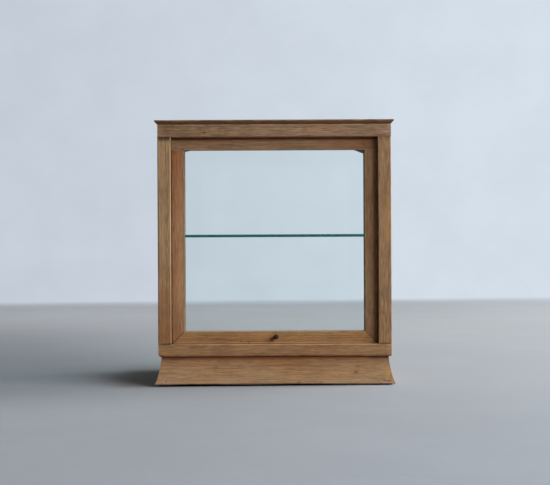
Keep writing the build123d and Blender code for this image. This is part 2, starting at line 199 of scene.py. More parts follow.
def placeGroup(tree, group, feeds):
    node = tree.nodes.new("ShaderNodeGroup")
    node.node_tree = group
    feedNode(tree, node, feeds)
    return node.outputs


# Shared effects. A pair is where a value starts and is full, and two more numbers are its ends.

grainNoise = {  # scale along the grain, scale across it, detail, roughness
    "drift": (6.0, 28.0, 2.0, 0.5), "fibre": (22.0, 1300.0, 3.0, 0.5), "streak": (20.0, 480.0, 4.0, 0.6),
    "fleck": (60.0, 1000.0, 3.0, 0.6), "patch": (13.0, 48.0, 2.0, 0.5), "dash": (110.0, 2100.0, 1.0, 0.5),
    "thread": (9.0, 1150.0, 2.0, 0.5),
}
grainLook = {
    "yearScale": 0.45, "yearDrift": 1.5, "lateWood": (0.2, 0.95), "boldYears": (0.25, 0.75),
    "pores": (0.56, 0.65), "earlyWood": (0.85, 0.2), "lines": (0.54, 0.68),
    "linePatches": (0.3, 0.6, 0.4, 1.0), "warmPatches": (0.45, 0.75, 0.0, 0.75),
    "fibreSwing": 0.6, "brightness": 1.06, "poreShade": 0.45, "poreTint": 0.55,
    "fibreHeight": 0.35, "lateHeight": 0.25, "poreDepth": 0.8,
}


def buildOakGrain():  # ring-porous wood: yearly rings round a pith line, fibres, streaks, pores
    takes = {
        "Vector": (0.0, 0.0, 0.0), "Light": tone(150, 120, 90), "Dark": tone(100, 74, 48),
        "Warm": tone(150, 100, 60), "Ring": 0.002, "Wave": 0.004, "Contrast": 0.6, "Streaks": 0.5,
        "Flecks": 0.8, "Lines": 0.3,
    }
    group, take = startGroup("oakGrain", takes, {"Color": "Color", "Height": "Float"})
    place = take["Vector"]
    look = grainLook

    def noiseFor(name):
        along, across, detail, roughness = grainNoise[name]
        return noiseOf(group, stretch(group, place, along, across), detail=detail, roughness=roughness)

    drift = vectorCalc(group, "SUBTRACT", noiseFor("drift")["Color"], (0.5, 0.5, 0.5))
    drift = vectorCalc(group, "MULTIPLY", drift, (0.0, 1.0, 1.0))
    bent = vectorCalc(group, "ADD", place, shadeColor(group, drift, take["Wave"]))
    radius = lengthOf(group, vectorCalc(group, "MULTIPLY", bent, (0.0, 1.0, 1.0)))
    years = calc(group, "DIVIDE", radius, take["Ring"])
    feeds = {"W": years, "Scale": look["yearScale"], "Detail": 1.0}
    uneven = addNode(group, "TexNoise", feeds, noise_dimensions="1D").outputs[0]
    within = calc(group, "FRACT", calc(group, "ADD", years, product(group, uneven, look["yearDrift"])))
    late = product(group, span(group, within, *look["lateWood"]), span(group, uneven, *look["boldYears"]))

    names = ("fibre", "streak", "fleck", "patch", "dash", "thread")
    fibre, streak, fleck, patch, dash, thread = (noiseFor(name)[0] for name in names)
    pores = product(group, span(group, dash, *look["pores"]), span(group, within, *look["earlyWood"]))
    lines = product(group, span(group, thread, *look["lines"]), span(group, patch, *look["linePatches"]))

    color = mixColor(group, product(group, late, take["Contrast"]), take["Light"], take["Dark"])
    color = mixColor(group, span(group, patch, *look["warmPatches"]), color, take["Warm"])
    swing = swingOf(group, streak, take["Streaks"])
    swing = calc(group, "ADD", swing, swingOf(group, fleck, take["Flecks"]))
    swing = calc(group, "ADD", swing, swingOf(group, fibre, look["fibreSwing"]))
    swing = calc(group, "SUBTRACT", swing, product(group, lines, take["Lines"]))
    color = shadeColor(group, color, calc(group, "ADD", look["brightness"], swing))
    sunk = shadeColor(group, take["Dark"], look["poreShade"])
    color = mixColor(group, product(group, pores, look["poreTint"]), color, sunk)
    raised = product(group, late, look["lateHeight"])
    height = calc(group, "ADD", product(group, fibre, look["fibreHeight"]), raised)
    height = calc(group, "SUBTRACT", height, product(group, pores, look["poreDepth"]))
    return endGroup(group, {"Color": color, "Height": height})


rubLook = {
    "rubScale": 70.0, "reach": (0.3, 0.7, 0.35, 1.8), "rim": (0.3, 1.0, 1.0, 0.0),
    "chipScale": 420.0, "chips": (0.6, 0.68), "chipReach": (0.0, 0.0012, 1.0, 0.0),
}


def buildEdgeWear():  # how near a point is to an edge of the box between two corners
    takes = {"Vector": (0.0, 0.0, 0.0), "Low": (0.0, 0.0, 0.0), "High": (1.0, 1.0, 1.0), "Width": 0.001}
    group, take = startGroup("edgeWear", takes, {"Worn": "Float", "Nicks": "Float"})
    place = take["Vector"]
    inside = vectorCalc(group, "SUBTRACT", place, take["Low"])
    outside = vectorCalc(group, "SUBTRACT", take["High"], place)
    gaps = addNode(group, "SeparateXYZ", {0: vectorCalc(group, "MINIMUM", inside, outside)}).outputs
    nearer = calc(group, "MINIMUM", gaps[0], gaps[1])
    further = calc(group, "MINIMUM", calc(group, "MAXIMUM", gaps[0], gaps[1]), gaps[2])
    middle = calc(group, "MAXIMUM", nearer, further)
    rubbed = noiseOf(group, place, scale=rubLook["rubScale"], detail=3.0)[0]
    reach = product(group, take["Width"], span(group, rubbed, *rubLook["reach"]))
    worn = span(group, calc(group, "DIVIDE", middle, reach), *rubLook["rim"])
    chips = span(group, noiseOf(group, place, scale=rubLook["chipScale"], detail=1.0)[0], *rubLook["chips"])
    nicks = product(group, chips, span(group, middle, *rubLook["chipReach"]))
    return endGroup(group, {"Worn": worn, "Nicks": nicks})


ageLook = {
    "patchScale": 26.0, "fineScale": 310.0, "dirt": (0.45, 0.7), "fineDirt": (0.3, 0.7, 0.5, 1.0),
    "lookingUp": (0.6, 0.98), "dust": (0.3, 0.7, 0.4, 1.0),
    "dentScale": 120.0, "dents": (0.05, 0.16, 1.0, 0.0),
}


def buildAgeing():  # dirt in soft patches, dust on what looks up, small dents
    takes = {"Vector": (0.0, 0.0, 0.0), "Normal": (0.0, 0.0, 1.0)}
    group, take = startGroup("ageing", takes, {"Dirt": "Float", "Dust": "Float", "Dents": "Float"})
    place = take["Vector"]
    soft = noiseOf(group, place, scale=ageLook["patchScale"], detail=4.0, roughness=0.6)[0]
    fine = noiseOf(group, place, scale=ageLook["fineScale"], detail=3.0)[0]
    dirt = product(group, span(group, soft, *ageLook["dirt"]), span(group, fine, *ageLook["fineDirt"]))
    up = addNode(group, "SeparateXYZ", {0: take["Normal"]}).outputs[2]
    dust = product(group, span(group, up, *ageLook["lookingUp"]), span(group, soft, *ageLook["dust"]))
    cells = addNode(group, "TexVoronoi", {"Vector": place, "Scale": ageLook["dentScale"]})
    pits = cells.outputs["Distance"]
    return endGroup(group, {"Dirt": dirt, "Dust": dust, "Dents": span(group, pits, *ageLook["dents"])})


spotLook = {"rimScale": 500.0, "rim": (0.45, 1.1, 1.0, 0.0)}


def buildSpot():  # one mark of a given place and size, with a ragged rim
    takes = {
        "Vector": (0.0, 0.0, 0.0), "Centre": (0.0, 0.0, 0.0), "Size": (0.001, 0.001, 0.001), "Ragged": 0.6,
    }
    group, take = startGroup("spot", takes, {"Mask": "Float"})
    away = vectorCalc(group, "SUBTRACT", take["Vector"], take["Centre"])
    distance = lengthOf(group, vectorCalc(group, "DIVIDE", away, take["Size"]))
    uneven = noiseOf(group, take["Vector"], scale=spotLook["rimScale"])[0]
    distance = calc(group, "ADD", distance, swingOf(group, uneven, take["Ragged"]))
    return endGroup(group, {"Mask": span(group, distance, *spotLook["rim"])})


def buildFade():  # rises from 0 to 1 between two points
    takes = {"Vector": (0.0, 0.0, 0.0), "From": (0.0, 0.0, 0.0), "To": (0.0, 0.0, 1.0)}
    group, take = startGroup("fade", takes, {"Mask": "Float"})
    way = vectorCalc(group, "SUBTRACT", take["To"], take["From"])
    gone = vectorCalc(group, "SUBTRACT", take["Vector"], take["From"])
    part = calc(group, "DIVIDE", dotOf(group, gone, way), dotOf(group, way, way))
    return endGroup(group, {"Mask": span(group, part, 0.0, 1.0)})


oakGrain = buildOakGrain()
edgeWear = buildEdgeWear()
ageing = buildAgeing()
spot = buildSpot()
fade = buildFade()
print("shared effects built")


# Oak, one material for each piece

grainTurns = {"x": (0.0, 0.0, 0.0), "y": (0.0, 0.0, -math.pi / 2), "z": (0.0, math.pi / 2, 0.0)}
oakDefaults = {
    "ring": 0.0021, "wave": 0.005, "contrast": 0.5, "streaks": 0.55, "flecks": 1.5, "lines": 0.42,
    "wear": 0.0008, "worn": tone(176, 144, 110), "dirt": 0.3, "dust": 0.12, "gloss": 0.35,
    "spots": [], "fades": [],
}
oakSurface = {
    "dirtShade": 0.6, "wornTint": 0.55, "dustColor": tone(178, 168, 154),
    "nickTint": 0.3, "nickColor": tone(62, 42, 28),
    "roughness": (0.0, 0.6, 0.72, 0.56), "dirtRough": 0.12, "wornSmooth": 0.1,
    "dentDepth": 0.25, "bump": 0.5, "bumpDepth": 0.00035,
}


def spotAt(place, size, color, strength, ragged=0.6):  # a mark, or a long line, of its own colour: real marks and stains, and also painted shade, painted shadows and painted highlights
    return {"at": place, "size": size, "tint": tone(*color), "strength": strength, "ragged": ragged}


def fadeOver(start, end, color):  # the wood turns to its own colour times this one: tone changes, and also painted shade
    return {"from": start, "to": end, "tint": tone(*color)}


def makeOak(name, finish, low, high):
    look = {**oakDefaults, **finish}
    material, tree, shader = startMaterial(name)
    coords = addNode(tree, "TexCoord").outputs
    place = coords["Object"]
    feeds = {"Vector": place, "Rotation": grainTurns[look["grain"]], "Location": look["shift"]}
    feeds = {"Vector": addNode(tree, "Mapping", feeds).outputs[0]}
    for key in ("light", "dark", "warm", "ring", "wave", "contrast", "streaks", "flecks", "lines"):
        feeds[key.capitalize()] = look[key]
    grain = placeGroup(tree, oakGrain, feeds)
    age = placeGroup(tree, ageing, {"Vector": place, "Normal": coords["Normal"]})
    edge = placeGroup(tree, edgeWear, {"Vector": place, "Low": low, "High": high, "Width": look["wear"]})
    color = grain["Color"]
    # fades: changes of tone, and also painted shade
    for part in look["fades"]:
        feeds = {"Vector": place, "From": part["from"], "To": part["to"]}
        color = mixColor(tree, placeGroup(tree, fade, feeds)["Mask"], color, part["tint"], "MULTIPLY")
    dirt = product(tree, age["Dirt"], look["dirt"])
    color = mixColor(tree, dirt, color, darker(look["dark"], oakSurface["dirtShade"]))
    color = mixColor(tree, product(tree, edge["Worn"], oakSurface["wornTint"]), color, look["worn"])
    color = mixColor(tree, product(tree, age["Dust"], look["dust"]), color, oakSurface["dustColor"])
    nicks = product(tree, edge["Nicks"], oakSurface["nickTint"])
    color = mixColor(tree, nicks, color, oakSurface["nickColor"])
    # spots: marks and stains, and also painted shade, painted shadows and painted highlights
    for part in look["spots"]:
        feeds = {"Vector": place, "Centre": part["at"], "Size": part["size"], "Ragged": part["ragged"]}
        mask = product(tree, placeGroup(tree, spot, feeds)["Mask"], part["strength"])
        color = mixColor(tree, mask, color, part["tint"])
    rough = span(tree, grain["Height"], *oakSurface["roughness"])
    rough = calc(tree, "ADD", rough, product(tree, age["Dirt"], oakSurface["dirtRough"]))
    rough = calc(tree, "SUBTRACT", rough, product(tree, edge["Worn"], oakSurface["wornSmooth"]))
    dents = product(tree, age["Dents"], oakSurface["dentDepth"])
    height = calc(tree, "SUBTRACT", grain["Height"], dents)
    height = calc(tree, "SUBTRACT", height, edge["Nicks"])
    normal = bumpOf(tree, height, oakSurface["bump"], oakSurface["bumpDepth"])
    feedNode(tree, shader, {"Base Color": color, "Roughness": rough, "Normal": normal})
    shader.inputs["Specular IOR Level"].default_value = look["gloss"]
    return material


# Wood pieces: a worn copy of the CAD node, or the node itself with softened edges

meshRules = {
    "weld": 1e-6, "flat": math.radians(1), "sharp": math.radians(20), "shortest": 0.003,
    "shadeSharp": math.radians(18), "segments": 2,
}
wearDefaults = {
    "round": 0.00018, "step": 0.006, "wander": 0.00003, "nick": 0.0002, "dents": [], "footWear": 0.0,
}
wearNoise = {"slow": 22, "quick": 80, "nicksOver": 0.2, "nickSwing": 2, "seedScale": 900}
footLook = {"under": 0.0019, "mean": 0.75, "swing": 0.6, "waves": 17, "start": -0.02, "run": 0.05}
softLook = {"weld": 1e-5, "width": 0.0002, "segments": 2, "sharp": math.radians(30)}


def finishMesh(bm, name, material, node):
    mesh = bpy.data.meshes.new(name)
    bm.to_mesh(mesh)
    bm.free()
    mesh.materials.append(material)
    mesh.shade_smooth()
    mesh.set_sharp_from_angle(angle=meshRules["shadeSharp"])
    piece = bpy.data.objects.new(name, mesh)
    scene.collection.objects.link(piece)
    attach(piece, bodyOf[node])
    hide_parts(node)


def dressWith(node, material):
    nodes[node].data.materials.clear()
    nodes[node].data.materials.append(material)


def cutAcross(bm, axis, low, high, step):  # the cuts give the wear points to move
    normal = Vector((0, 0, 0))
    normal[axis] = 1
    count = int((high[axis] - low[axis]) / step)
    for i in range(1, count):
        cut = Vector((0, 0, 0))
        cut[axis] = low[axis] + (high[axis] - low[axis]) * i / count
        everything = bm.verts[:] + bm.edges[:] + bm.faces[:]
        bmesh.ops.bisect_plane(bm, geom=everything, plane_co=cut, plane_no=normal, dist=meshRules["weld"])


def woodLost(place, onRim, look, seed):
    slow = noise.noise(place * wearNoise["slow"] + seed)
    lost = look["wander"] * (0.5 + 0.5 * slow)
    if onRim:
        quick = noise.noise(place * wearNoise["quick"] - seed) - wearNoise["nicksOver"]
        lost += look["nick"] * max(0.0, quick) * wearNoise["nickSwing"]
    for dent in look["dents"]:
        near = 1 - (place - Vector(dent["at"])).length / dent["reach"]
        if near > 0:
            lost += dent["depth"] * near * near * (3 - 2 * near)
    return lost


def footLift(place, depth):  # the foot has worn at the front, and stands clear of the ground there
    along = noise.noise(Vector((place.x, 0, 0)) * footLook["waves"])
    towardsFront = min(1.0, max(0.0, (footLook["start"] - place.y) / footLook["run"]))
    return depth * (footLook["mean"] + footLook["swing"] * along) * towardsFront


def wearPiece(node, finish):
    look = {**wearDefaults, **finish}
    low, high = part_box(node)
    bm = bmesh.new()
    bm.from_mesh(nodes[node].data)
    bmesh.ops.remove_doubles(bm, verts=bm.verts, dist=meshRules["weld"])
    bmesh.ops.dissolve_limit(bm, angle_limit=meshRules["flat"], verts=bm.verts, edges=bm.edges)
    for edge in bm.edges:  # seams mark the edges to round, and last through the cuts
        sharp = len(edge.link_faces) == 2 and edge.calc_face_angle(0) > meshRules["sharp"]
        edge.seam = sharp and edge.is_convex and edge.calc_length() > meshRules["shortest"]
    cutAcross(bm, "xyz".index(look["grain"]), low, high, look["step"])
    rims = [edge for edge in bm.edges if edge.seam]
    rounded = bmesh.ops.bevel(
        bm, geom=rims, affect="EDGES", offset=look["round"], segments=meshRules["segments"], profile=0.5,
        material=-1, clamp_overlap=True,
    )
    rimPoints = {point for face in rounded["faces"] for point in face.verts}
    bm.normal_update()
    seed = Vector(look["shift"]) * wearNoise["seedScale"]
    for point in bm.verts:
        point.co -= point.normal * woodLost(point.co, point in rimPoints, look, seed)
        if look["footWear"] and point.co.z < footLook["under"]:
            point.co.z += footLift(point.co, look["footWear"])
    finishMesh(bm, node + "_worn", makeOak(node + "_oak", finish, low, high), node)


def dressNode(node, finish):
    low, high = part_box(node)
    dressWith(node, makeOak(node + "_oak", finish, low, high))
    weld = nodes[node].modifiers.new("weld", "WELD")
    weld.merge_threshold = softLook["weld"]
    soften = nodes[node].modifiers.new("softEdges", "BEVEL")
    soften.width = softLook["width"]
    soften.segments = softLook["segments"]
    soften.limit_method = "ANGLE"
    soften.angle_limit = softLook["sharp"]


# Carcase posts. Grain runs up them.

leftPost = {
    "grain": "z", "shift": (0.31, 0.052, -0.018), "ring": 0.0019, "wave": 0.004,
    "light": tone(142, 112, 79), "dark": tone(102, 75, 47), "warm": tone(132, 92, 53),
    "fades": [fadeOver((0, 0, 0.15), (0, 0, 0.05), (236, 206, 176))],
    "spots": [
        spotAt((-0.1195, -0.077, 0.0456), (0.0078, 0.006, 0.0011), (52, 32, 18), 0.7),
        spotAt((-0.1155, -0.077, 0.0458), (0.002, 0.006, 0.0016), (40, 24, 14), 0.9),
        # painted shade: the left post's outer arris is darkened along its length, where it turns from the
        # light
        spotAt((-0.1287, -0.0775, 0.16), (0.0016, 0.002, 0.2), (80, 58, 40), 0.9, ragged=0.2),
        # painted shade: dark band on the post's inner face, in the gap beside the sash stile
        spotAt((-0.1140, -0.0728, 0.16), (0.0006, 0.0036, 0.25), (78, 44, 20), 0.9, ragged=0.2),
        # painted highlight: pale line on the post's inner arris, where the light from the right falls
        spotAt((-0.1143, -0.0772, 0.16), (0.0007, 0.0009, 0.25), (206, 168, 128), 0.4, ragged=0.3),
    ],
}
wearPiece("post_front_left", leftPost)

rightPost = {
    "grain": "z", "shift": (0.84, 0.05, 0.026), "ring": 0.0022, "wave": 0.005,
    "light": tone(133, 101, 70), "dark": tone(97, 69, 42), "warm": tone(133, 94, 48),
    "wear": 0.0004, "streaks": 0.85, "flecks": 2.5,
    "fades": [fadeOver((0, 0, 0.13), (0, 0, 0.05), (244, 240, 232))],
    "spots": [
        spotAt((0.1287, -0.0775, 0.16), (0.0007, 0.002, 0.2), (84, 56, 36), 0.6, ragged=0.2),
        # painted shade: the right post's inner arris is darkened, on the side away from the light
        spotAt((0.1142, -0.077, 0.16), (0.0007, 0.0025, 0.2), (66, 42, 24), 0.65, ragged=0.2),
        spotAt((0.1215, -0.077, 0.0456), (0.008, 0.006, 0.0011), (52, 32, 18), 0.65),
        spotAt((0.1252, -0.077, 0.192), (0.0035, 0.01, 0.02), (156, 117, 64), 0.5),
        spotAt((0.124, -0.077, 0.165), (0.0035, 0.01, 0.013), (156, 118, 66), 0.5),
    ],
}
wearPiece("post_front_right", rightPost)

backLeftPost = {
    "grain": "z", "shift": (0.12, 0.061, 0.03), "ring": 0.0021,
    "light": tone(135, 106, 75), "dark": tone(95, 71, 44), "warm": tone(129, 91, 53),
}
wearPiece("post_back_left", backLeftPost)

backRightPost = {
    "grain": "z", "shift": (0.55, 0.038, -0.044), "ring": 0.0024,
    "light": tone(139, 108, 75), "dark": tone(97, 72, 46), "warm": tone(133, 93, 53),
}
wearPiece("post_back_right", backRightPost)


# Top rails

frontTopRail = {
    "grain": "x", "shift": (0.47, 0.095, -0.16), "ring": 0.0023, "wave": 0.006,
    "streaks": 0.9, "flecks": 2.8,
    "light": tone(132, 102, 75), "dark": tone(91, 65, 45), "warm": tone(130, 89, 59),
    "fades": [fadeOver((0, 0, 0), (-0.11, 0, 0), (242, 237, 228))],
    "spots": [
        # painted shade: dark band along the rail's lower arris, above the sash's shadow
        spotAt((0, -0.077, 0.2737), (0.2, 0.002, 0.0009), (88, 54, 28), 0.75, ragged=0.2),
        # painted light: warm, paler underside of the rail, standing in for bounce light in its shade
        spotAt((0, -0.0736, 0.2733), (0.2, 0.0045, 0.0005), (196, 122, 62), 0.85, ragged=0.2),
        spotAt((-0.0765, -0.077, 0.2782), (0.0022, 0.006, 0.0014), (60, 38, 26), 0.75),
        spotAt((-0.0712, -0.077, 0.2796), (0.0012, 0.006, 0.0008), (92, 60, 42), 0.6),
        spotAt((0.1165, -0.077, 0.2752), (0.011, 0.006, 0.0008), (88, 54, 36), 0.55),
        spotAt((0.1236, -0.077, 0.2786), (0.0016, 0.006, 0.0008), (176, 146, 116), 0.5),
        spotAt((0.1198, -0.077, 0.2828), (0.0024, 0.006, 0.0007), (112, 62, 42), 0.5),
        spotAt((0.1287, -0.077, 0.2795), (0.0014, 0.003, 0.008), (70, 46, 30), 0.6),
    ],
}
wearPiece("top_rail_front", frontTopRail)

backTopRail = {
    "grain": "x", "shift": (0.93, -0.041, -0.25), "ring": 0.002,
    "light": tone(131, 103, 75), "dark": tone(92, 68, 44), "warm": tone(128, 89, 55),
}
wearPiece("top_rail_back", backTopRail)

leftTopRail = {
    "grain": "y", "shift": (0.22, 0.16, -0.31), "ring": 0.0022,
    "light": tone(133, 105, 77), "dark": tone(92, 68, 44), "warm": tone(129, 89, 55),
}
wearPiece("top_rail_left", leftTopRail)

rightTopRail = {
    "grain": "y", "shift": (0.66, -0.09, -0.33), "ring": 0.0021,
    "light": tone(137, 109, 79), "dark": tone(97, 72, 48), "warm": tone(133, 95, 59),
}
wearPiece("top_rail_right", rightTopRail)


# Base rails

frontBaseRail = {
    "grain": "x", "shift": (0.28, 0.09, 0.08), "ring": 0.0024, "wave": 0.005,
    "light": tone(133, 97, 63), "dark": tone(98, 66, 39), "warm": tone(128, 84, 49),
    "wear": 0.0011, "worn": tone(184, 146, 104),
    "spots": [
        # painted highlight: pale band along the top of the ledge, where light falls on it
        spotAt((0, -0.0745, 0.0453), (0.2, 0.006, 0.0008), (190, 152, 112), 0.4, ragged=0.2),
        spotAt((-0.1215, -0.077, 0.0450), (0.0085, 0.006, 0.0008), (58, 36, 20), 0.8),
        spotAt((0.1215, -0.077, 0.0450), (0.0085, 0.006, 0.0008), (58, 36, 20), 0.8),
        # painted shade: dark band along the rail's lower arris, over the plinth
        spotAt((0, -0.0762, 0.0313), (0.2, 0.004, 0.0016), (104, 54, 16), 0.75, ragged=0.2),
    ],
    "dents": [{"at": (-0.1298, -0.078, 0.0305), "reach": 0.006, "depth": 0.0014}],
}
wearPiece("base_rail_front", frontBaseRail)

backBaseRail = {
    "grain": "x", "shift": (0.71, -0.052, -0.08), "ring": 0.0021,
    "light": tone(133, 101, 70), "dark": tone(95, 69, 44), "warm": tone(129, 89, 55),
}
wearPiece("base_rail_back", backBaseRail)

leftBaseRail = {
    "grain": "y", "shift": (0.37, 0.17, -0.085), "ring": 0.0022,
    "light": tone(133, 101, 70), "dark": tone(95, 69, 44), "warm": tone(129, 87, 53),
}
wearPiece("base_rail_left", leftBaseRail)

rightBaseRail = {
    "grain": "y", "shift": (0.82, -0.08, -0.09), "ring": 0.0023,
    "light": tone(139, 106, 73), "dark": tone(101, 74, 48), "warm": tone(135, 95, 57),
}
wearPiece("base_rail_right", rightBaseRail)


# Plinth, mitred and flared

# plinth fade: darker and warmer towards the top, partly the wood's tone, partly painted shade under the base
# rail
plinthDefaults = {"footWear": 0.0019, "fades": [fadeOver((0, 0, 0.014), (0, 0, 0.032), (230, 212, 190))]}

frontPlinth = {
    "grain": "x", "shift": (0.16, 0.1, -0.13), "ring": 0.0026, "wave": 0.006,
    "contrast": 0.6, "streaks": 0.45, "flecks": 1.3, "lines": 0.32,
    "light": tone(144, 113, 80), "dark": tone(107, 76, 47), "warm": tone(141, 101, 62),
    # darker and warmer towards the top, partly the wood's tone, partly painted shade under the base rail
    "fades": [fadeOver((0, 0, 0.014), (0, 0, 0.032), (226, 204, 178))],
    "spots": [
        # painted shade: the next three darken the plinth's top, under the base rail's overhang
        spotAt((0, -0.0737, 0.0312), (0.2, 0.004, 0.0044), (100, 52, 14), 0.85, ragged=0.2),
        spotAt((0.1170, -0.0745, 0.0304), (0.0220, 0.006, 0.0024), (64, 30, 6), 0.8, ragged=0.3),
        spotAt((-0.1120, -0.0745, 0.0300), (0.0240, 0.006, 0.0026), (84, 44, 14), 0.6, ragged=0.3),
        # painted contact shadow: dark band along the foot's lower edge
        spotAt((0, -0.0804, 0.0012), (0.2, 0.008, 0.0016), (26, 18, 12), 0.95, ragged=0.2),
        spotAt((0.0889, -0.078, 0.0137), (0.0028, 0.006, 0.0018), (92, 58, 36), 0.75),
        spotAt((0.0258, -0.081, 0.0036), (0.0022, 0.006, 0.0013), (88, 58, 36), 0.85),
        spotAt((-0.0400, -0.080, 0.0056), (0.0018, 0.006, 0.0010), (98, 70, 50), 0.6),
        spotAt((-0.0980, -0.078, 0.0228), (0.0340, 0.010, 0.0022), (148, 97, 64), 0.35),
        spotAt((-0.1170, -0.080, 0.0055), (0.0120, 0.010, 0.0050), (148, 116, 96), 0.4),
        spotAt((-0.0520, -0.080, 0.0055), (0.0180, 0.010, 0.0040), (156, 124, 100), 0.4),
        spotAt((0.0570, -0.080, 0.0088), (0.0090, 0.010, 0.0030), (158, 109, 75), 0.35),
        spotAt((0.0400, -0.076, 0.0276), (0.0110, 0.010, 0.0016), (152, 99, 64), 0.3),
        spotAt((0.0980, -0.076, 0.0280), (0.0110, 0.010, 0.0016), (152, 99, 64), 0.3),
        spotAt((0.1242, -0.079, 0.0142), (0.0034, 0.008, 0.009), (168, 118, 54), 0.55),
        spotAt((0.1250, -0.081, 0.0046), (0.0034, 0.006, 0.0009), (58, 36, 22), 0.9),
    ],
    "footWear": 0.0019,
}
wearPiece("plinth_front", frontPlinth)

backPlinth = {
    "grain": "x", "shift": (0.52, -0.12, -0.05), "ring": 0.0024,
    "light": tone(141, 110, 77), "dark": tone(103, 74, 46), "warm": tone(137, 97, 59),
    **plinthDefaults,
}
wearPiece("plinth_back", backPlinth)

leftPlinth = {
    "grain": "y", "shift": (0.43, 0.19, -0.05), "ring": 0.0025,
    "light": tone(141, 110, 77), "dark": tone(103, 74, 46), "warm": tone(137, 97, 59),
    **plinthDefaults,
}
wearPiece("plinth_left", leftPlinth)

rightPlinth = {
    "grain": "y", "shift": (0.91, -0.08, -0.05), "ring": 0.0023,
    "light": tone(143, 112, 79), "dark": tone(105, 76, 48), "warm": tone(141, 99, 59),
    **plinthDefaults,
}
wearPiece("plinth_right", rightPlinth)

plinthBlocks = {
    "grain": "z", "shift": (0.2, 0.05, 0.03),
    "light": tone(168, 138, 102), "dark": tone(132, 100, 68), "warm": tone(160, 122, 80),
}
dressNode("plinth_blocks", plinthBlocks)


# Lid and floor boards

lidBoard = {
    "grain": "x", "shift": (0.61, 0.09, -0.345), "ring": 0.0032, "wave": 0.011, "step": 0.007,
    "light": tone(103, 73, 45), "dark": tone(70, 46, 25), "warm": tone(105, 66, 36),
    "contrast": 0.6, "streaks": 0.8, "lines": 0.45,
    "wear": 0.0012, "worn": tone(160, 128, 98), "dirt": 0.45, "dust": 0.06,
}
wearPiece("top_board", lidBoard)

floorBoard = {
    "grain": "x", "shift": (0.33, 0.07, -0.02), "ring": 0.0034, "wave": 0.01,
    "light": tone(122, 92, 62), "dark": tone(90, 62, 38), "warm": tone(122, 80, 46),
    "dust": 0.1, "gloss": 0.12,
}
dressNode("floor_board", floorBoard)


# Sash members

sashTopRail = {
    "grain": "x", "shift": (0.14, 0.085, -0.17), "ring": 0.002, "wave": 0.004,
    "light": tone(124, 92, 64), "dark": tone(88, 61, 39), "warm": tone(120, 77, 48),
    "fades": [fadeOver((0.03, 0, 0), (0.1, 0, 0), (238, 216, 190))],
    "spots": [
        # painted light: warm, paler band along the rail's top, in the shadow of the top rail
        spotAt((0, -0.07, 0.2727), (0.2, 0.003, 0.0028), (170, 110, 66), 0.7, ragged=0.2),
        # painted reflection: greyish pale line along the rail's lower arris at the glass
        spotAt((0, -0.07, 0.2597), (0.2, 0.004, 0.0009), (98, 86, 74), 0.5, ragged=0.2),
        spotAt((-0.1012, -0.07, 0.2608), (0.0014, 0.005, 0.0012), (46, 28, 18), 0.9),
        spotAt((0.0995, -0.07, 0.2648), (0.0016, 0.005, 0.0007), (50, 30, 18), 0.85),
    ],
}
wearPiece("sash_top_rail", sashTopRail)

sashBottomRail = {
    "grain": "x", "shift": (0.77, 0.088, 0.05), "ring": 0.0022, "wave": 0.005,
    "light": tone(143, 104, 63), "dark": tone(107, 72, 40), "warm": tone(143, 98, 48),
    "fades": [
        fadeOver((-0.1061, 0, 0.0518), (-0.1066, 0, 0.0523), (120, 84, 60)),
        fadeOver((0.1061, 0, 0.0518), (0.1066, 0, 0.0523), (160, 128, 100)),
    ],
    "wear": 0.0009, "worn": tone(178, 144, 110),
    "spots": [
        # painted reflection: greyish pale line along the rail's top arris at the glass
        spotAt((0, -0.07, 0.0590), (0.2, 0.004, 0.0009), (150, 134, 114), 0.5, ragged=0.2),
        # painted highlight: pale band along the rail's lower arris, above the gap
        spotAt((0, -0.07, 0.0459), (0.2, 0.004, 0.0014), (190, 146, 102), 0.5, ragged=0.3),
        # painted shadow: the next two are the knob's shadow, falling down and to the left
        spotAt((-0.0012, -0.07, 0.0508), (0.0024, 0.004, 0.0018), (62, 38, 22), 0.8),
        spotAt((-0.0034, -0.07, 0.0486), (0.0021, 0.004, 0.0017), (66, 42, 24), 0.75),
        spotAt((-0.0382, -0.07, 0.048), (0.0009, 0.005, 0.0012), (74, 48, 30), 0.8),
        spotAt((-0.0288, -0.07, 0.0462), (0.0013, 0.005, 0.0008), (78, 50, 30), 0.8),
    ],
}
wearPiece("sash_bottom_rail", sashBottomRail)

leftStile = {
    "grain": "z", "shift": (0.58, 0.043, -0.035), "ring": 0.0023, "wave": 0.005,
    "light": tone(152, 110, 75), "dark": tone(114, 78, 48), "warm": tone(148, 92, 56),
    "spots": [
        # painted highlight: pale line on the stile's left arris, beside the gap
        spotAt((-0.1135, -0.07, 0.16), (0.0006, 0.004, 0.25), (204, 146, 96), 0.5, ragged=0.2),
        # painted shade: dark band on the reveal at the glass opening's left side
        spotAt((-0.0996, -0.0655, 0.16), (0.0015, 0.009, 0.25), (70, 52, 40), 0.95, ragged=0.2),
    ],
    "fades": [
        fadeOver((-0.1071, 0, 0.0528), (-0.1066, 0, 0.0523), (120, 84, 60)),
        fadeOver((0, 0, 0.15), (0, 0, 0.25), (228, 208, 186)),
        fadeOver((0, 0, 0.12), (0, 0, 0.06), (228, 226, 224)),
        fadeOver((-0.107, 0, 0), (-0.1, 0, 0), (238, 244, 240)),
    ],
}
wearPiece("sash_stile_left", leftStile)

rightStile = {
    "grain": "z", "shift": (0.07, -0.05, -0.028), "ring": 0.0021, "wave": 0.005,
    "light": tone(132, 100, 67), "dark": tone(96, 67, 42), "warm": tone(119, 79, 46),
    "fades": [
        fadeOver((0.1071, 0, 0.0528), (0.1066, 0, 0.0523), (160, 128, 100)),
        # painted shade: warmer and darker towards the right post, where its shadow falls
        fadeOver((0.108, 0, 0), (0.1135, 0, 0), (250, 214, 170)),
    ],
}
wearPiece("sash_stile_right", rightStile)

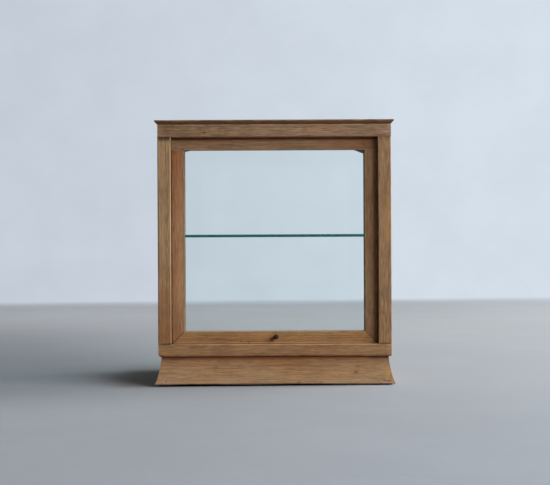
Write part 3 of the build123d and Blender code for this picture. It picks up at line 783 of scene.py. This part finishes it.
sashBeads = {
    "bottom": {"grain": "x", "shift": (0.2, 0.04, -0.05)}, "top": {"grain": "x", "shift": (0.6, 0.05, -0.29)},
    "left": {"grain": "z", "shift": (0.3, 0.05, 0.02)}, "right": {"grain": "z", "shift": (0.8, 0.04, -0.03)},
}
for side, finish in sashBeads.items():
    shades = {"light": tone(131, 101, 72), "dark": tone(94, 67, 44), "warm": tone(126, 86, 52)}
    dressNode("sash_bead_" + side, {**shades, **finish})


# Rear beads, wedges and shelf cleats

backBeads = {
    "bottom": {"grain": "x", "shift": (0.5, 0.06, -0.05)}, "top": {"grain": "x", "shift": (0.1, 0.04, -0.29)},
    "left": {"grain": "z", "shift": (0.7, 0.04, 0.04)}, "right": {"grain": "z", "shift": (0.4, 0.05, -0.05)},
}
for side, finish in backBeads.items():
    shades = {"light": tone(135, 104, 73), "dark": tone(97, 71, 46), "warm": tone(129, 89, 53)}
    dressNode("back_bead_" + side, {**shades, **finish})

cornerWedge = {
    "grain": "x", "light": tone(141, 116, 88), "dark": tone(103, 80, 55), "warm": tone(133, 99, 66),
}
for side, shift in {"left": (0.4, 0.03, -0.28), "right": (0.9, 0.05, -0.29)}.items():
    dressNode("corner_wedge_" + side, {**cornerWedge, "shift": shift})

shelfCleat = {"grain": "y", "light": tone(137, 106, 75), "dark": tone(99, 72, 48), "warm": tone(131, 91, 55)}
for side, shift in {"left": (0.15, 0.15, -0.18), "right": (0.55, -0.07, -0.2)}.items():
    dressNode("shelf_cleat_" + side, {**shelfCleat, "shift": shift})
print("wood dressed")


# Knob, turned from dark wood

knobShape = {
    "centre": (0.0015, -0.0700, 0.05305), "steps": 40, "weld": 1e-6,
    "profile": [  # forward from the sash's face, radius
        (0.0, 0.0023), (0.0004, 0.0023), (0.0007, 0.0020), (0.0012, 0.0017), (0.0018, 0.0016),
        (0.0023, 0.0018), (0.0028, 0.0023), (0.0034, 0.0027), (0.0041, 0.0028), (0.0049, 0.0027),
        (0.0057, 0.0023), (0.0064, 0.0015), (0.0068, 0.0008), (0.0069, 0.0),
    ],
}
knobWood = {
    "shift": (0.03, 0.004, -0.05305), "ring": 0.0011, "wave": 0.001, "contrast": 0.8, "streaks": 0.6,
    "light": tone(58, 34, 20), "dark": tone(30, 16, 8), "warm": tone(52, 30, 20),
    "dust": 0.15, "dustColor": tone(120, 104, 90), "roughness": (0.0, 0.6, 0.62, 0.45),
    "bump": 0.3, "bumpDepth": 0.0002, "gloss": 0.12,
}


def makeKnob():
    centre = Vector(knobShape["centre"])
    bm = bmesh.new()
    outline = [Vector((radius, -forward, 0)) for forward, radius in knobShape["profile"]]
    points = [bm.verts.new(centre + place) for place in outline]
    for first, second in zip(points, points[1:]):
        bm.edges.new((first, second))
    bmesh.ops.spin(
        bm, geom=bm.verts[:] + bm.edges[:], cent=centre, axis=(0, 1, 0), angle=2 * math.pi,
        steps=knobShape["steps"], use_merge=True,
    )
    bmesh.ops.remove_doubles(bm, verts=bm.verts, dist=knobShape["weld"])
    bmesh.ops.holes_fill(bm, edges=[edge for edge in bm.edges if edge.is_boundary])
    bmesh.ops.recalc_face_normals(bm, faces=bm.faces)
    return bm


def makeKnobWood():
    material, tree, shader = startMaterial("knob_dark_wood")
    coords = addNode(tree, "TexCoord").outputs
    feeds = {"Vector": coords["Object"], "Rotation": grainTurns["y"], "Location": knobWood["shift"]}
    feeds = {"Vector": addNode(tree, "Mapping", feeds).outputs[0]}
    for key in ("light", "dark", "warm", "ring", "wave", "contrast", "streaks"):
        feeds[key.capitalize()] = knobWood[key]
    grain = placeGroup(tree, oakGrain, feeds)
    age = placeGroup(tree, ageing, {"Vector": coords["Object"], "Normal": coords["Normal"]})
    dust = product(tree, age["Dust"], knobWood["dust"])
    color = mixColor(tree, dust, grain["Color"], knobWood["dustColor"])
    rough = span(tree, grain["Height"], *knobWood["roughness"])
    normal = bumpOf(tree, grain["Height"], knobWood["bump"], knobWood["bumpDepth"])
    feedNode(tree, shader, {"Base Color": color, "Roughness": rough, "Normal": normal})
    shader.inputs["Specular IOR Level"].default_value = knobWood["gloss"]
    return material


finishMesh(makeKnob(), "sash_knob_turned", makeKnobWood(), "sash_knob")


# Iron brads and pivot nails

ironLook = {
    "bare": tone(96, 92, 88), "rust": tone(86, 52, 34), "dark": tone(44, 36, 32), "rustScale": 900.0,
    "rusted": (0.42, 0.58), "grimeScale": 260.0, "grime": (0.4, 0.65), "grimeTint": 0.6,
    "metal": (0.0, 1.0, 0.9, 0.1), "roughness": (0.3, 0.7, 0.38, 0.85), "bump": 0.5, "bumpDepth": 0.0001,
}


def makeIron():
    material, tree, shader = startMaterial("rusted_iron")
    place = addNode(tree, "TexCoord").outputs["Object"]
    rust = noiseOf(tree, place, scale=ironLook["rustScale"], detail=4.0, roughness=0.65)[0]
    rusted = span(tree, rust, *ironLook["rusted"])
    grime = noiseOf(tree, place, scale=ironLook["grimeScale"], detail=3.0)[0]
    grime = product(tree, span(tree, grime, *ironLook["grime"]), ironLook["grimeTint"])
    color = mixColor(tree, rusted, ironLook["bare"], ironLook["rust"])
    color = mixColor(tree, grime, color, ironLook["dark"])
    feedNode(tree, shader, {
        "Base Color": color, "Metallic": span(tree, rusted, *ironLook["metal"]),
        "Roughness": span(tree, rust, *ironLook["roughness"]),
        "Normal": bumpOf(tree, rust, ironLook["bump"], ironLook["bumpDepth"]),
    })
    return material


iron = makeIron()
for node in ("top_board_brads", "plinth_brads", "back_bead_brads", "sash_brads", "pivot_nails"):
    dressWith(node, iron)
print("knob and nails done")


# Glass

glassSurface = {
    "index": 1.2, "edge": (0.3, 0.8, 1.0, 0.0), "smears": (0.5, 0.75), "smearRough": 0.02,
    "cloudScale": 18.0, "clouds": (0.3, 0.7), "cloudShade": 0.985, "waveScale": 9.0,
    "speckScale": 700.0, "speckHeight": 0.002, "bump": 0.05, "bumpDepth": 0.0005,
}
paneGlass = {"tint": tone(250, 253, 253), "edge": tone(110, 168, 158), "shadow": tone(240, 247, 246)}
shelfGlass = {"tint": tone(224, 246, 243), "edge": tone(14, 103, 98), "shadow": tone(205, 226, 224)}


def makeGlass(name, look, lying):
    material, tree, shader = startMaterial(name)
    coords = addNode(tree, "TexCoord").outputs
    place = coords["Object"]
    turns = addNode(tree, "SeparateXYZ", {0: coords["Normal"]}).outputs
    broad = (turns[2],) if lying else (turns[0], turns[1])
    flat = largest(tree, *[calc(tree, "ABSOLUTE", turn) for turn in broad])
    clouds = noiseOf(tree, place, scale=glassSurface["cloudScale"], detail=3.0)[0]
    specks = noiseOf(tree, place, scale=glassSurface["speckScale"], detail=2.0)[0]
    rough = product(tree, span(tree, clouds, *glassSurface["smears"]), glassSurface["smearRough"])
    cloudy = darker(look["tint"], glassSurface["cloudShade"])
    tint = mixColor(tree, span(tree, clouds, *glassSurface["clouds"]), look["tint"], cloudy)
    tint = mixColor(tree, span(tree, flat, *glassSurface["edge"]), tint, look["edge"])
    waves = noiseOf(tree, place, scale=glassSurface["waveScale"])[0]
    waves = calc(tree, "ADD", waves, product(tree, specks, glassSurface["speckHeight"]))
    normal = bumpOf(tree, waves, glassSurface["bump"], glassSurface["bumpDepth"])
    feedNode(tree, shader, {"Base Color": tint, "Roughness": rough, "Normal": normal})
    shader.inputs["Transmission Weight"].default_value = 1.0
    shader.inputs["IOR"].default_value = glassSurface["index"]
    rays = addNode(tree, "LightPath").outputs
    clear = addNode(tree, "BsdfTransparent", {"Color": look["shadow"]})
    mixSurface(tree, largest(tree, rays["Is Shadow Ray"], rays["Is Diffuse Ray"]), shader, clear)
    return material


for node in ("side_glass_left", "side_glass_right", "back_glass", "sash_glass"):
    dressWith(node, makeGlass(node + "_pane", paneGlass, lying=False))
dressWith("shelf_glass", makeGlass("shelf_glass_plate", shelfGlass, lying=True))
print("glass done")


# Floor and wall in one sheet, with a soft bend between them. The floor falls a little to the left and
# lies a little low, so a dark line shows under the foot.

stageShape = {
    "halfWidth": 5.0, "front": -6.0, "wall": 1.8, "bend": 0.02, "bendSteps": 12, "height": 3.2,
    "lean": -0.25, "drop": 0.0006,
}
stageColors = {
    "floor": tone(148, 153, 160), "farLeft": tone(191, 193, 197), "farRight": tone(171, 174, 177),
    # shade and paintedShadowCore are painted shadow on the floor, left of the case and beside its foot
    "shade": tone(224, 225, 228), "paintedShadowCore": tone(207, 201, 192), "nearLamp": tone(170, 170, 170),
    "wallLeft": tone(198, 207, 217), "wallRight": tone(213, 223, 233),
}
stageZones = {  # axis, where it starts, where it is full
    "farRight": ("x", -0.6, 0.5), "far": ("y", -0.7, 1.1), "wallRight": ("x", -0.8, 0.8),
    "shadeFront": ("y", -0.28, -0.1), "shadeBack": ("y", 1.2, 0.5), "shadeLeft": ("x", 0.15, -0.45),
    "coreLeft": ("x", -0.2, -0.16), "coreRight": ("x", 0.1, 0.0),
    "coreFront": ("y", -0.1, -0.06), "coreBack": ("y", 0.11, 0.07), "nearLamp": ("x", 0.8, 2.2),
    "rising": ("z", 0.0, 0.016), "farEnd": ("y", 1.36, 1.8), "nearEnd": ("y", -2.2, -3.6),
}
stageSurface = {
    "sides": (1.5, 2.5), "cloudScale": 5.0, "clouds": (0.3, 0.7, 0.97, 1.02), "gritScale": 60.0,
    "bump": 0.15, "bumpDepth": 0.002, "roughness": 0.85, "gloss": 0.2, "bounce": 0.5,
}


def edgesIn(items):
    return [item for item in items if isinstance(item, bmesh.types.BMEdge)]


def growSheet(bm, line, step):  # carries a line of edges on, with a sheet behind it
    line = edgesIn(bmesh.ops.extrude_edge_only(bm, edges=line)["geom"])
    bmesh.ops.translate(bm, verts=line[0].verts[:], vec=step)
    return line


def makeStage():
    front, bend = stageShape["front"], stageShape["bend"]
    far = stageShape["wall"] - bend
    bm = bmesh.new()
    ends = [bm.verts.new((x * stageShape["halfWidth"], front, 0)) for x in (-1, 1)]
    line = growSheet(bm, [bm.edges.new(ends)], (0, far - front, 0))
    turned = bmesh.ops.spin(
        bm, geom=line[0].verts[:] + line, cent=(0, far, bend), axis=(1, 0, 0), angle=math.pi / 2,
        steps=stageShape["bendSteps"],
    )
    growSheet(bm, edgesIn(turned["geom_last"]), (0, 0, stageShape["height"]))
    bmesh.ops.recalc_face_normals(bm, faces=bm.faces)
    mesh = bpy.data.meshes.new("stage")
    bm.to_mesh(mesh)
    bm.free()
    mesh.shade_smooth()
    mesh.materials.append(makeStagePaint())
    stage = bpy.data.objects.new("stage", mesh)
    stage.rotation_euler[1] = math.radians(stageShape["lean"])
    stage.location[2] = -stageShape["drop"]
    scene.collection.objects.link(stage)


def makeStagePaint():
    material, tree, shader = startMaterial("stage_paint")
    place = addNode(tree, "TexCoord").outputs["Object"]
    axes = addNode(tree, "SeparateXYZ", {0: place}).outputs

    def zone(name):
        axis, start, full = stageZones[name]
        return span(tree, axes["xyz".index(axis)], start, full)

    clouds = noiseOf(tree, place, scale=stageSurface["cloudScale"], detail=5.0, roughness=0.6)[0]
    farFloor = mixColor(tree, zone("farRight"), stageColors["farLeft"], stageColors["farRight"])
    floor = mixColor(tree, zone("far"), stageColors["floor"], farFloor)
    wall = mixColor(tree, zone("wallRight"), stageColors["wallLeft"], stageColors["wallRight"])
    # painted shadow: the floor is darkened to the left of the case, and most beside its foot
    shaded = product(tree, zone("shadeFront"), zone("shadeBack"), zone("shadeLeft"))
    floor = mixColor(tree, shaded, floor, stageColors["shade"], "MULTIPLY")
    paintedShadowCore = product(tree, zone("coreLeft"), zone("coreRight"), zone("coreFront"), zone("coreBack"))
    floor = mixColor(tree, paintedShadowCore, floor, stageColors["paintedShadowCore"], "MULTIPLY")
    # painted shade: the floor near the lamp is darkened, against the lamp's bright pool
    floor = mixColor(tree, zone("nearLamp"), floor, stageColors["nearLamp"], "MULTIPLY")
    sides = span(tree, calc(tree, "ABSOLUTE", axes[0]), *stageSurface["sides"])
    onWall = largest(tree, zone("rising"), zone("farEnd"), sides, zone("nearEnd"))
    color = mixColor(tree, onWall, floor, wall)
    color = shadeColor(tree, color, span(tree, clouds, *stageSurface["clouds"]))
    dimmed = mixColor(tree, onWall, color, shadeColor(tree, color, stageSurface["bounce"]))
    grit = noiseOf(tree, place, scale=stageSurface["gritScale"], detail=6.0, roughness=0.7)[0]
    normal = bumpOf(tree, grit, stageSurface["bump"], stageSurface["bumpDepth"])
    feedNode(tree, shader, {"Base Color": dimmed, "Normal": normal})
    shader.inputs["Roughness"].default_value = stageSurface["roughness"]
    shader.inputs["Specular IOR Level"].default_value = stageSurface["gloss"]
    shown = addNode(tree, "Emission", {"Color": color, "Strength": 1.0})
    mixSurface(tree, product(tree, seenRays(tree), onWall), shader, shown)
    return material


makeStage()


# Soft light from the right front, and a plain room

keyLight = {
    "turn": 73.0, "rise": 24.0, "distance": 3.2, "width": 5.2, "height": 1.33, "power": 306.0,
    "color": (0.98, 1.0, 1.02), "aim": (0, -0.05, 0.14),
}
room = {"fill": 0.105, "warmth": (1.27, 1.0, 0.62), "shown": tone(206, 216, 226)}

keyData = bpy.data.lights.new("window", "AREA")
keyData.shape = "RECTANGLE"
keyData.size = keyLight["width"]
keyData.size_y = keyLight["height"]
keyData.energy = keyLight["power"]
keyData.color = keyLight["color"]
key = bpy.data.objects.new("window", keyData)
turn, rise = math.radians(keyLight["turn"]), math.radians(keyLight["rise"])
away = Vector((math.sin(turn) * math.cos(rise), -math.cos(turn) * math.cos(rise), math.sin(rise)))
key.location = Vector(keyLight["aim"]) + away * keyLight["distance"]
key.rotation_euler = (-away).to_track_quat("-Z", "Y").to_euler()
key.visible_camera = False
key.visible_transmission = False  # so the shelf doesn't mirror the lamp through a pane
scene.collection.objects.link(key)

world = bpy.data.worlds.new("room")
world.use_nodes = True
scene.world = world
fill = tuple(part * room["fill"] for part in room["warmth"]) + (1.0,)
shown = mixColor(world.node_tree, seenRays(world.node_tree), fill, room["shown"])
feedNode(world.node_tree, world.node_tree.nodes["Background"], {"Color": shown})
print("stage and light done")

bpy.context.view_layer.update()
